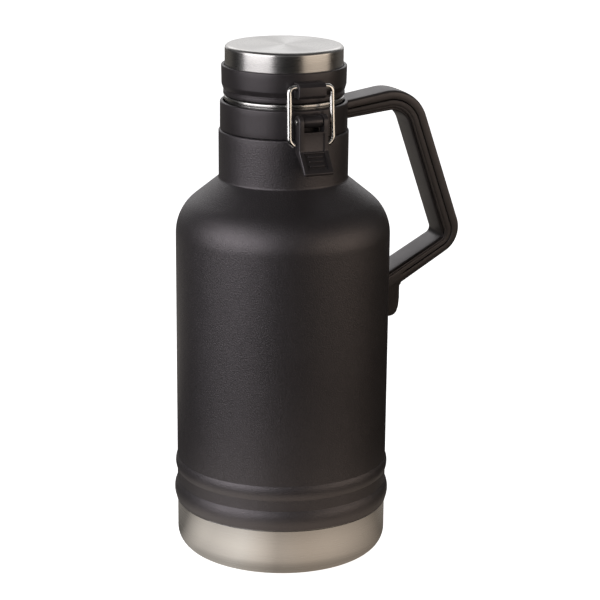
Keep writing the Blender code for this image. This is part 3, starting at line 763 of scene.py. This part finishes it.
def band_section(groove):
    """Half the outer band's section, from the seam's side edge round to the outer face."""
    w = HANDLE_HALF_W
    start = SEAM * DEPTH + SEAM_GAP / 2 * groove
    line = fillet((start, 0), (start, w), (9 * MM, w), seam_fillet(groove), 5)
    line += [(8.0 * MM, w + 0.07 * MM), (8.9 * MM, w + 0.07 * MM)]
    line += fillet((9 * MM, w), (DEPTH, w), (DEPTH, 0), 1.7 * MM, 8)
    return line + [(DEPTH + 0.1 * MM, 6 * MM), (DEPTH + 0.16 * MM, 3 * MM), (DEPTH + 0.18 * MM, 0)]


def handle_stations(shares, end_x):
    """For each station along the handle, the side-view point of each share of its depth."""
    columns = []
    for share in shares:
        line, arm = handle_line(share)
        tail = [at_x(*arm, x) for x in (GROOVE_END_X + 3.2 * MM, GROOVE_END_X, end_x)]
        columns.append(line + tail)
    return list(zip(*columns))


def loft(name, rings):
    """Joins rings of points into a closed skin with flat ends."""
    shape = bmesh.new()
    made = [[shape.verts.new(point) for point in ring] for ring in rings]
    for ring, following in zip(made, made[1:]):
        for i in range(len(ring)):
            j = (i + 1) % len(ring)
            shape.faces.new((ring[i], ring[j], following[j], following[i]))
    shape.faces.new(made[0])
    shape.faces.new(list(reversed(made[-1])))
    return mesh_from(shape, name)


def section_rings(section_of, end_x):
    """Rings of a section along the handle. The groove closes over the last two stations."""
    rings = []
    count = len(handle_stations([0.0], end_x))
    for k in range(count):
        section = section_of(1.0 if k < count - 2 else 0.0)
        points = handle_stations([depth / DEPTH for depth, _ in section], end_x)[k]
        near = [(p[0], y, p[1]) for p, (_, y) in zip(points, section)]
        far = [(p[0], -y, p[1]) for p, (_, y) in zip(points, section) if y > 0]
        rings.append(near + far[::-1])
    return rings


def arm_section(groove):
    """The outer band's section, closed along the seam."""
    band = band_section(groove)
    return [(band[0][0], 0), *band]


def make_handle_grip():
    """The inner half of the handle, up to the seam."""
    mesh = loft("handle_grip_pad", section_rings(grip_section, GRIP_END_X))
    mesh = booleaned(mesh, cuts=[upright_rod(COLLAR_R + CLEARANCE, 240 * MM, 262 * MM)])
    add_piece("handle_grip_pad", mesh, "bottle", "handle_grip")


def root_block():
    """The handle's full section from the end of the grip to the bottle's wall."""
    inner = [(d, y) for d, y in grip_section(0.0) if d < SEAM * DEPTH - 0.1 * MM]
    section = inner + [(d, y) for d, y in band_section(0.0) if d > SEAM * DEPTH + 0.1 * MM]
    rings = []
    for x in (GRIP_END_X - 0.02 * MM, ROOT_X):
        ring = []
        for depth, y in section:
            _, arm = handle_line(depth / DEPTH)
            point = at_x(*arm, x)
            ring.append((point[0], y, point[1]))
        rings.append(ring + [(a, -y, b) for a, y, b in reversed(ring) if y > 0])
    return loft("root", rings)


def tab_block():
    """The tab that hangs from the root and takes the lower screw."""
    _, under = handle_line(1.0)
    face_top = (TAB_FACE_X, 142 * MM)
    corner = at_x(*under, TAB_FACE_X)
    outline = fillet(under[0], corner, face_top, 2.0 * MM, 8)
    nose = [
        (TAB_FACE_X, 141 * MM), (67.3 * MM, 136 * MM), (65.6 * MM, TAB_BOTTOM + 0.6 * MM),
        (ROOT_X, TAB_BOTTOM),
    ]
    outline += rounded_line(nose, [6 * MM, 4.5 * MM], 10)
    _, inside = handle_line(0.8)
    outline += [at_x(*inside, ROOT_X), at_x(*inside, outline[0][0] - 0.5 * MM)]
    half = HANDLE_HALF_W - 0.02 * MM
    shape = prism_shape(outline, half, "Y")
    bevel_rims(shape, "Y", half, 1.7 * MM, 7, wanted=lambda p: p.x > 58 * MM and p.z < 147 * MM)
    return mesh_from(shape, "tab")


def make_handle_frame():
    """The outer half of the handle, with its root and its tab."""
    mesh = loft("handle_channel", section_rings(arm_section, 58 * MM))
    bottle = upright_rod(BODY_R + CLEARANCE, 110 * MM, 180 * MM, 256)
    collar = upright_rod(COLLAR_R + CLEARANCE, 240 * MM, 270 * MM)
    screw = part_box("handle_screw_lower")
    middle = (screw[0] + screw[1]) / 2
    sink = rod_mesh("sink", 3.0 * MM, (66.3 * MM, 0, middle.z), (72 * MM, 0, middle.z))
    mesh = booleaned(mesh, joins=[root_block(), tab_block()], cuts=[bottle, collar, sink])
    add_piece("handle_channel", mesh, "bottle", "handle_frame", "grip_black")


# ---- fasteners and pins ----


def moved(mesh, axis, place):
    """Turns a mesh made round +Z so that +Z points along an axis, and puts it at a place."""
    turn = Vector(axis).to_track_quat("Z", "Y").to_matrix().to_4x4()
    mesh.transform(Matrix.Translation(place) @ turn)
    return mesh


def make_pin(name, node, trim=0.0):
    """A pin with a rounded head at both ends, in the place of its CAD node."""
    lowest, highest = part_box(node)
    middle = (lowest + highest) / 2
    half = (highest.x - lowest.x) / 2 - trim
    head = (highest.z - lowest.z) / 2 - trim
    neck = -half + 0.6 * MM
    corners = [(0, -half), (head, -half), (head, neck), (1.25 * MM, neck)]
    lower = rounded_line(corners, [0.5 * MM, 0.1 * MM], 6)
    profile = lower + [(r, -z) for r, z in reversed(lower)]
    mesh = turned_mesh(name, profile, 48, closed=False)
    add_piece(name, moved(mesh, (1, 0, 0), middle), "bottle", node)


def make_tab_screw():
    """The pan-head screw in the handle's tab, with a cross recess."""
    lowest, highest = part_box("handle_screw_lower")
    middle = (lowest + highest) / 2
    head = (highest.z - lowest.z) / 2
    length = highest.x - lowest.x
    corners = [
        (0, length), (head, length), (head, length - 1.4 * MM), (1.3 * MM, length - 1.4 * MM),
        (1.3 * MM, 0.6 * MM), (0.7 * MM, 0), (0, 0),
    ]
    profile = rounded_line(corners, [0.9 * MM, 0.15 * MM, 0, 0, 0], 6)
    mesh = turned_mesh("tab_screw", profile, 48, closed=False)
    top, floor = length + 0.5 * MM, length - 0.8 * MM
    slots = []
    for wide, deep in ((0.4 * MM, 1.5 * MM), (1.5 * MM, 0.4 * MM)):
        outline = [(-wide, floor), (wide, floor), (wide, top), (-wide, top)]
        slots.append(prism_mesh("slot", outline, deep, "Y"))
    mesh = booleaned(mesh, cuts=slots)
    place = (lowest.x, middle.y, middle.z)
    add_piece("tab_screw", moved(mesh, (1, 0, 0), place), "bottle", "handle_screw_lower")


# ---- the lid ----


def make_lid_body():
    """The lid's band with its lip and plug, open on top for the foam and the cap."""
    seat_r = CAP_R + 0.35 * MM
    shelf = CAP_BOTTOM - 0.3 * MM
    groove = BAND_BOTTOM - 1.0 * MM
    gasket_top = LIP_BOTTOM + 1.6 * MM
    dish = PLUG_BOTTOM + 0.7 * MM
    # Each corner: radius, height, and the fillet in millimetres.
    corners = [
        (0, 256.3 * MM, 0), (26.4 * MM, 256.3 * MM, 0.5), (26.4 * MM, 264.5 * MM, 0.5),
        (29.6 * MM, 265.1 * MM, 0.2), (29.6 * MM, shelf, 0.2), (seat_r, shelf, 0),
        (seat_r, LID_TOP, 0.25), (LID_R, LID_TOP, 0.6), (34.15 * MM, 266.9 * MM, 3.0),
        (33.35 * MM, BAND_BOTTOM, 0.3), (32.65 * MM, BAND_BOTTOM, 0.15), (32.65 * MM, groove, 0.1),
        (33.2 * MM, groove, 0.2), (33.2 * MM, LIP_BOTTOM, 0.25), (32.6 * MM, LIP_BOTTOM, 0.1),
        (32.6 * MM, gasket_top, 0.15), (PLUG_R, gasket_top, 0.4), (PLUG_R - 0.6 * MM, PLUG_BOTTOM, 1.6),
        (22 * MM, PLUG_BOTTOM, 0.4), (20.5 * MM, dish, 0.4), (0, dish, 0),
    ]
    radii = [corner[2] * MM for corner in corners[1:-1]]
    profile = rounded_line([corner[:2] for corner in corners], radii, 6)
    mesh = turned_mesh("lid_band", split_long(profile, 4 * MM), closed=False)
    add_piece("lid_band", mesh, "lid", "lid_body")


def make_lid_cap():
    """The steel cap: a wall, a rounded shoulder and a flat top."""
    corners = [(0, CAP_TOP), (CAP_R, CAP_TOP), (CAP_R, CAP_BOTTOM)]
    line = [(r * MM, CAP_TOP) for r in (3, 12, 21)] + fillet(*corners, 2.1 * MM, 14)
    line += [(CAP_R, z * MM) for z in (281, 277, 273)] + [(CAP_R, CAP_BOTTOM)]
    inner = offset_line(line, WALL)
    profile = [(0, CAP_TOP), *line, *reversed(inner), (0, CAP_TOP - WALL)]
    mesh = turned_mesh("steel_cap", profile, 256, closed=False)
    # Its finish carries spokes of painted highlight and painted shade.
    add_piece("steel_cap", mesh, "lid", "lid_cap", "spun_steel")


def make_gasket():
    """The silicone ring between the lid and the mouth."""
    bottom, top = MOUTH_TOP + 0.1 * MM, LIP_BOTTOM + 1.5 * MM
    outer, inner = 32.4 * MM, 29.2 * MM
    corners = [(inner, bottom), (inner, top), (outer, top), (outer, bottom)]
    profile = rounded_line([*corners, corners[0]], [0.25 * MM, 0.25 * MM, 0.35 * MM], 5)[:-1]
    add_piece("mouth_gasket", turned_mesh("mouth_gasket", profile), "lid", "lid_gasket")


def lid_clear():
    """A cutter that keeps what is screwed to the lid off its wall."""
    return upright_rod(LID_R + 0.12 * MM, 258 * MM, 282 * MM, 256)


def make_catch():
    """The block on the lid, slotted for the wire's bar."""
    half = high("latch_catch").x
    front = low("latch_catch").y
    root = -32.5 * MM
    bottom, top = 264.6 * MM, 273.0 * MM
    corners = [
        (root, bottom), (-39.6 * MM, bottom), (front, 266.1 * MM), (front, 270.9 * MM),
        (-39.2 * MM, top - 0.2 * MM), (root, top + 0.3 * MM), (root, bottom),
    ]
    outline = rounded_line(corners, [0.5 * MM, 0.5 * MM, 0.5 * MM, 0.6 * MM, 0], 5)[:-1]
    mesh = prism_mesh("catch_block", outline, half, "X", 0.5 * MM, 4)
    slot_r = 1.7 * MM
    nose = arc((BAIL.y, BAIL.z), slot_r, 90, 270, 20)
    slot = [(-30 * MM, BAIL.z + slot_r), *nose, (-30 * MM, BAIL.z - slot_r)]
    mesh = booleaned(mesh, cuts=[prism_mesh("slot", slot, 12 * MM, "X"), lid_clear()])
    add_piece("catch_block", mesh, "lid", "latch_catch")


def make_hinge_leaf():
    """The lid's half of the hinge: a plate and a bored knuckle."""
    plate = rounded_line(
        mm([(32.5, 264.6), (36.9, 264.6), (36.9, 275.0), (32.5, 275.0), (32.5, 264.6)]),
        [0.8 * MM, 1.2 * MM, 0], 5,
    )[:-1]
    nose = arc((HINGE.y, HINGE.z), KNUCKLE_R, 45, -200, 36)
    web = [*nose, *mm([(34.0, 264.8), (34.0, 271.5), (36.5, 271.5)])]
    leaf = prism_mesh("hinge_plate", plate, 8.5 * MM, "X", 0.6 * MM, 4)
    knuckle = prism_mesh("knuckle", web, 5.55 * MM, "X", 0.3 * MM)
    mesh = booleaned(leaf, joins=[knuckle], cuts=[lid_clear(), pin_bore(HINGE, 9 * MM)])
    add_piece("hinge_plate", mesh, "lid", "hinge_leaf", "moulded_plastic_black")


# ---- the latch ----


FLARE = [(-42.9, 237.0), (-50.9, 226.2)]    # front face of the thumb tab, top and tip, in mm
LEVER_HALF_W = 8.55 * MM
RAIL_W = 2.5 * MM
RAIL_RISE = 0.8 * MM


def lever_outline():
    """Side view of the lever: a round head, a flat face and a flared thumb tab."""
    head = arc((LEVER.y, LEVER.z), 3.9 * MM, 10, 170, 28)
    corners = mm([
        (-42.9, 250.0), FLARE[0], FLARE[1], (-49.6, 224.6), (-41.0, 232.9), (-36.7, 235.6),
        (-36.7, 249.0),
    ])
    radii = [r * MM for r in (2.2, 0.8, 0.8, 2.6, 1.4)]
    return [*head, *rounded_line(corners, radii, 7)]


def channel_outline():
    """Side view of the hollow between the lever's side walls."""
    corners = mm([
        (-30, 262), (-46, 262), (-46, 247.3), (-40.7, 246.9), (-40.7, 236.8), (-38.4, 234.4),
        (-30, 234.4),
    ])
    return rounded_line(corners, [r * MM for r in (0, 0, 0.3, 1.0, 0.6)], 5)


def on_flare(distance, rise):
    """A point down the lever's flared face, lifted off it: (y, z)."""
    top, tip = (Vector(p) for p in mm(FLARE))
    slope = (tip - top).normalized()
    return tuple(top + slope * distance + Vector((slope.y, -slope.x)) * rise)


def face_recess():
    """The shallow bay between the lever's side rails, down its front and its flare."""
    depth = RAIL_RISE
    outline = [
        (-44.5 * MM, 246.6 * MM), (-44.5 * MM, 237.0 * MM), on_flare(0.6 * MM, 1.5 * MM),
        on_flare(11.4 * MM, 1.5 * MM), on_flare(10.6 * MM, -depth), on_flare(0.2 * MM, -depth),
        (-42.9 * MM + depth, 237.3 * MM), (-42.9 * MM + depth, 246.0 * MM),
    ]
    return prism_mesh("recess", outline, LEVER_HALF_W - RAIL_W, "X")


def thumb_ribs():
    """A ledge where the flare starts and three short grip ribs below it."""
    ribs = []
    for at, half_width in ((0.9, 6.2), (3.2, 4.2), (5.9, 4.2), (8.6, 4.2)):
        foot, crest = -RAIL_RISE - 0.3 * MM, 0.15 * MM
        corners = [
            on_flare((at - 0.55) * MM, foot), on_flare((at - 0.45) * MM, crest),
            on_flare((at + 0.45) * MM, crest), on_flare((at + 0.55) * MM, foot),
        ]
        outline = rounded_line(corners, [0.3 * MM, 0.3 * MM], 4)
        ribs.append(prism_mesh("rib", outline, half_width * MM, "X", 0.25 * MM, 3))
    return ribs


def make_lever():
    """The lever, hollowed between its side walls, with its recess, ribs and bore."""
    mesh = prism_mesh("thumb_lever", lever_outline(), LEVER_HALF_W, "X", 2.2 * MM, 8)
    channel = prism_mesh("channel", channel_outline(), 5.8 * MM, "X")
    mesh = booleaned(mesh, cuts=[face_recess()])
    mesh = booleaned(mesh, joins=thumb_ribs(), cuts=[channel, pin_bore(LEVER, 12 * MM)])
    add_piece("thumb_lever", mesh, "lever", "latch_lever")


def bail_path():
    """The wire's centre line: two legs, hooked in at their feet, and the bar across the top."""
    foot_z = 239.7 * MM
    foot_y = -38.9 * MM
    foot_w, top_w = 12.5 * MM, 12.2 * MM
    corners = [
        (9.95 * MM, foot_z), (foot_w, foot_z + 2.4 * MM), (top_w, BAIL.z + 0.3 * MM),
        (0, BAIL.z + 0.3 * MM),
    ]
    half = rounded_line(corners, [3.6 * MM, 3.0 * MM], 12)
    half = split_long(half, 2 * MM)
    flat = half + [(-x, z) for x, z in reversed(half[:-1])]
    lean = (foot_y - BAIL.y) / (foot_z - BAIL.z)
    return [Vector((x, BAIL.y + lean * (z - BAIL.z), z)) for x, z in flat]


def tube_mesh(name, path, radius, sides):
    """A round tube along a path that stays close to one plane, with flat ends."""
    turns = [2 * math.pi * k / sides for k in range(sides)]
    rings = []
    side = Vector((0, 1, 0))
    for i, point in enumerate(path):
        ahead = (path[min(i + 1, len(path) - 1)] - path[max(i - 1, 0)]).normalized()
        side = (side - ahead * side.dot(ahead)).normalized()
        other = ahead.cross(side)
        rings.append([point + (side * math.cos(a) + other * math.sin(a)) * radius for a in turns])
    return loft(name, rings)


def make_bail():
    mesh = tube_mesh("wire_bail", bail_path(), 1.45 * MM, 24)
    add_piece("wire_bail", mesh, "bail", "latch_bail")


def dress_hidden_nodes():
    """Every CAD node that stays gets its finish in its own slots."""
    for name, node in frame["nodes"].items():
        finish = FINISH[SLOT_OF[name]]
        if not node.material_slots:
            node.data.materials.append(finish)
        for slot in node.material_slots:
            slot.link = "OBJECT"
            slot.material = finish


# ---- studio ----

CAMERA_DISTANCE = 1176 * MM
CAMERA_HEIGHT = 474.4 * MM
CAMERA_YAW = math.radians(0.48)
CAMERA_PITCH = math.radians(15.707)
CAMERA_ROLL = math.radians(0.541)
CAMERA_SENSOR_MM = 36
CAMERA_LENS_MM = 130.74

# The lamps. Reflections also see a dim room, a pale strip behind the object and a small table.
COOL = (1.0, 0.975, 0.985)
WARM = (1.0, 0.84, 0.68)
TABLE_TINT = (1.0, 0.93, 0.84)
AIM = (0, 0, 0.2)
# name, angle from the camera, distance, height, width, depth, radiance, colour
SOFTBOXES = (
    ("key_left", -52, 1.3, 0.56, 1.6, 1.05, 2.8, COOL),
    ("fill_right", 66, 1.3, 0.36, 1.5, 0.62, 1.5, WARM),
    ("overhead", 150, 0.5, 1.5, 0.9, 0.7, 0.3, (1, 1, 1)),
)

ROOM_TINT = (1, 0.99, 0.985, 1)
STUDIO_DIM = 0.065          # the room all round
BACKDROP_LEVEL = 0.8        # the strip behind the object
BACKDROP_LIFT = 2.1         # how much brighter the strip gets higher up
BACKDROP_FADE = 0.1         # what is left of it overhead
BACKDROP_HALF_ANGLE = 34
BACKDROP_SOFT = (0.04, 0.02)    # its soft side edges, outside and inside, as cosines
LIFT_HEIGHTS = (0.26, 0.34)     # where it brightens, as the sine of the elevation
FADE_HEIGHTS = (0.5, 0.8)       # and where it fades

FLOOR_SIZE = 12
FLOOR_DROP = 0.2 * MM
FLOOR_GLOW = 1.0
TABLE_RADIUS = 141 * MM
TABLE_FADE = (0.7, 1.2)     # its soft edge, as shares of the radius
TABLE_LEVEL = 0.32
# The spills are painted pools of lamplight in the table's glow.
TABLE_SPILLS = ((-50, 0.68, 1.12), (20, 0.2, 0.76))     # lamplight: angle, edge's cosine, level
SPILL_FULL = 0.95           # the cosine from which a spill has its whole level
WARM_ANGLE = 55             # the table's light turns warm towards this angle
# The floor's glow holds a painted contact shadow round the base.
CONTACT_REACH = 64 * MM     # the floor darkens towards the base over this distance
CONTACT_LEVEL = 0.32
FAR_LEVEL = 0.12            # the floor from a metre behind the object
FAR_REACH = (0.9, 1.1)
# The card is painted light: a glowing patch in the floor's glow for reflections, with no card in the scene.
CARD = (-0.06, 0.52)        # a white card lying behind the object, which lights the handle's inside
CARD_RADII = (0.16, 0.3)    # whole inside the first, gone outside the second
CARD_LEVEL = 0.42


def softbox(name, angle, distance, height, width, depth, radiance, colour):
    """An evenly bright rectangle that faces the object."""
    data = bpy.data.lights.new(name, "AREA")
    data.shape = "RECTANGLE"
    data.size = width
    data.size_y = depth
    data.energy = radiance * math.pi * width * depth
    data.color = colour
    light = linked(name, data)
    light.location = around(angle, distance, height)
    light.rotation_euler = (Vector(AIM) - light.location).to_track_quat("-Z", "Y").to_euler()


def make_camera():
    """The photo's viewpoint, found by fitting the object's outline."""
    data = bpy.data.cameras.new("camera")
    data.sensor_width = CAMERA_SENSOR_MM
    data.lens = CAMERA_LENS_MM
    data.clip_start, data.clip_end = 0.05, 60
    camera = linked("camera", data)
    camera.location = around(0, CAMERA_DISTANCE, CAMERA_HEIGHT)
    turn = Matrix.Rotation(CAMERA_AZIMUTH - CAMERA_YAW, 4, "Z")
    tilt = Matrix.Rotation(math.pi / 2 - CAMERA_PITCH, 4, "X")
    roll = Matrix.Rotation(CAMERA_ROLL, 4, "Z")
    camera.rotation_euler = (turn @ tilt @ roll).to_euler()
    bpy.context.scene.camera = camera


def make_world():
    """White to the camera. To reflections, dim, with a tall pale strip behind the object."""
    world = bpy.data.worlds.new("studio")
    bpy.context.scene.world = world
    world.use_nodes = True
    world.node_tree.nodes.clear()
    n = Nodes(world.node_tree)
    place = n.add("ShaderNodeTexCoord").outputs["Generated"]
    level = n.vector("NORMALIZE", n.vector("MULTIPLY", place, (1, 1, 0))[0])[0]
    toward = n.vector("DOT_PRODUCT", level, around(180, 1, 0))["Value"]
    edge = math.cos(math.radians(BACKDROP_HALF_ANGLE))
    outside, inside = edge - BACKDROP_SOFT[0], edge + BACKDROP_SOFT[1]
    strip = n.span(toward, outside, inside, STUDIO_DIM, BACKDROP_LEVEL)
    height = n.add("ShaderNodeSeparateXYZ", {0: place}).outputs["Z"]
    lifted = n.times(strip, n.span(height, *LIFT_HEIGHTS, 1.0, BACKDROP_LIFT))
    faded = n.times(lifted, n.span(height, *FADE_HEIGHTS, 1.0, BACKDROP_FADE))
    studio = n.add("ShaderNodeBackground", {"Strength": faded, "Color": ROOM_TINT}).outputs[0]
    white = n.add("ShaderNodeBackground", {"Color": (1, 1, 1, 1)}).outputs[0]
    seen = n.add("ShaderNodeLightPath").outputs["Is Camera Ray"]
    shown = n.add("ShaderNodeMixShader", {0: seen, 1: studio, 2: white}).outputs[0]
    n.add("ShaderNodeOutputWorld", {"Surface": shown})


def table_glow(f, x, y, reach):
    """What reflections see of the white table, which ends near the object as a real one would. Its glow holds
    painted pools of lamplight, a painted contact shadow and a painted card's glow.
    """

    def facing(angle):
        return f.calc("DIVIDE", f.along(x, y, around(angle, 1, 0)), reach)

    level = TABLE_LEVEL
    for angle, edge, spill in TABLE_SPILLS:
        level = f.plus(level, f.span(facing(angle), edge, SPILL_FULL, 0.0, spill))
    near = f.span(reach, *(TABLE_RADIUS * share for share in TABLE_FADE), 1.0, 0.0)
    # Painted contact shadow: the glow dims towards the base.
    painted_contact_shadow = f.span(reach, BODY_R, BODY_R + CONTACT_REACH, CONTACT_LEVEL, 1.0)
    near = f.times(f.times(near, level), painted_contact_shadow)
    behind = f.span(facing(180), 0.3, 0.6, 0.0, 1.0)
    far = f.times(f.span(reach, *FAR_REACH, 0.0, FAR_LEVEL), behind)
    from_card = f.length(f.calc("SUBTRACT", x, CARD[0]), f.calc("SUBTRACT", y, CARD[1]))
    card = f.span(from_card, *CARD_RADII, CARD_LEVEL, 0.0)
    warmth = f.span(facing(WARM_ANGLE), 0.1, 0.8, 0.0, 1.0)
    return f.plus(near, f.plus(far, card)), f.blend(warmth, TABLE_TINT, WARM)


def make_floor():
    """A white table for the camera. It glows, so that it stays white round the object."""
    mesh = bpy.data.meshes.new("floor")
    shape = bmesh.new()
    bmesh.ops.create_grid(shape, x_segments=1, y_segments=1, size=FLOOR_SIZE)
    shape.to_mesh(mesh)
    shape.free()
    floor = linked("floor", mesh)
    floor.location.z = -FLOOR_DROP
    f = Finish("floor_white")
    x, y, _ = f.parts()
    table, tint = table_glow(f, x, y, f.length(x, y))
    seen = f.add("ShaderNodeLightPath").outputs["Is Camera Ray"]
    unseen = f.calc("SUBTRACT", 1.0, seen)
    glow = f.plus(f.times(seen, FLOOR_GLOW), f.times(unseen, table))
    shown = f.blend(seen, (0.0, 0.0, 0.0), (0.9, 0.9, 0.9))
    f.set(colour=shown, rough=1.0, shine=0.0)
    f.feed(f.shader.inputs["Emission Color"], f.blend(seen, tint, (1.0, 1.0, 1.0)))
    f.feed(f.shader.inputs["Emission Strength"], glow)
    mesh.materials.append(f.material)


def make_studio():
    make_world()
    make_floor()
    for box in SOFTBOXES:
        softbox(*box)
    view = bpy.context.scene.view_settings
    view.view_transform = "Standard"
    view.look = "None"


def build():
    dress_hidden_nodes()
    make_outer_shell()
    make_base_cup()
    make_inner_liner()
    make_mouth_ring()
    make_neck_collar()
    make_handle_frame()
    make_handle_grip()
    make_pin("lever_axle", "lever_pin", 0.35 * MM)
    make_pin("hinge_axle", "hinge_pin")
    make_tab_screw()
    make_lid_body()
    make_lid_cap()
    make_gasket()
    make_catch()
    make_hinge_leaf()
    make_lever()
    make_bail()
    make_studio()
    make_camera()


build()
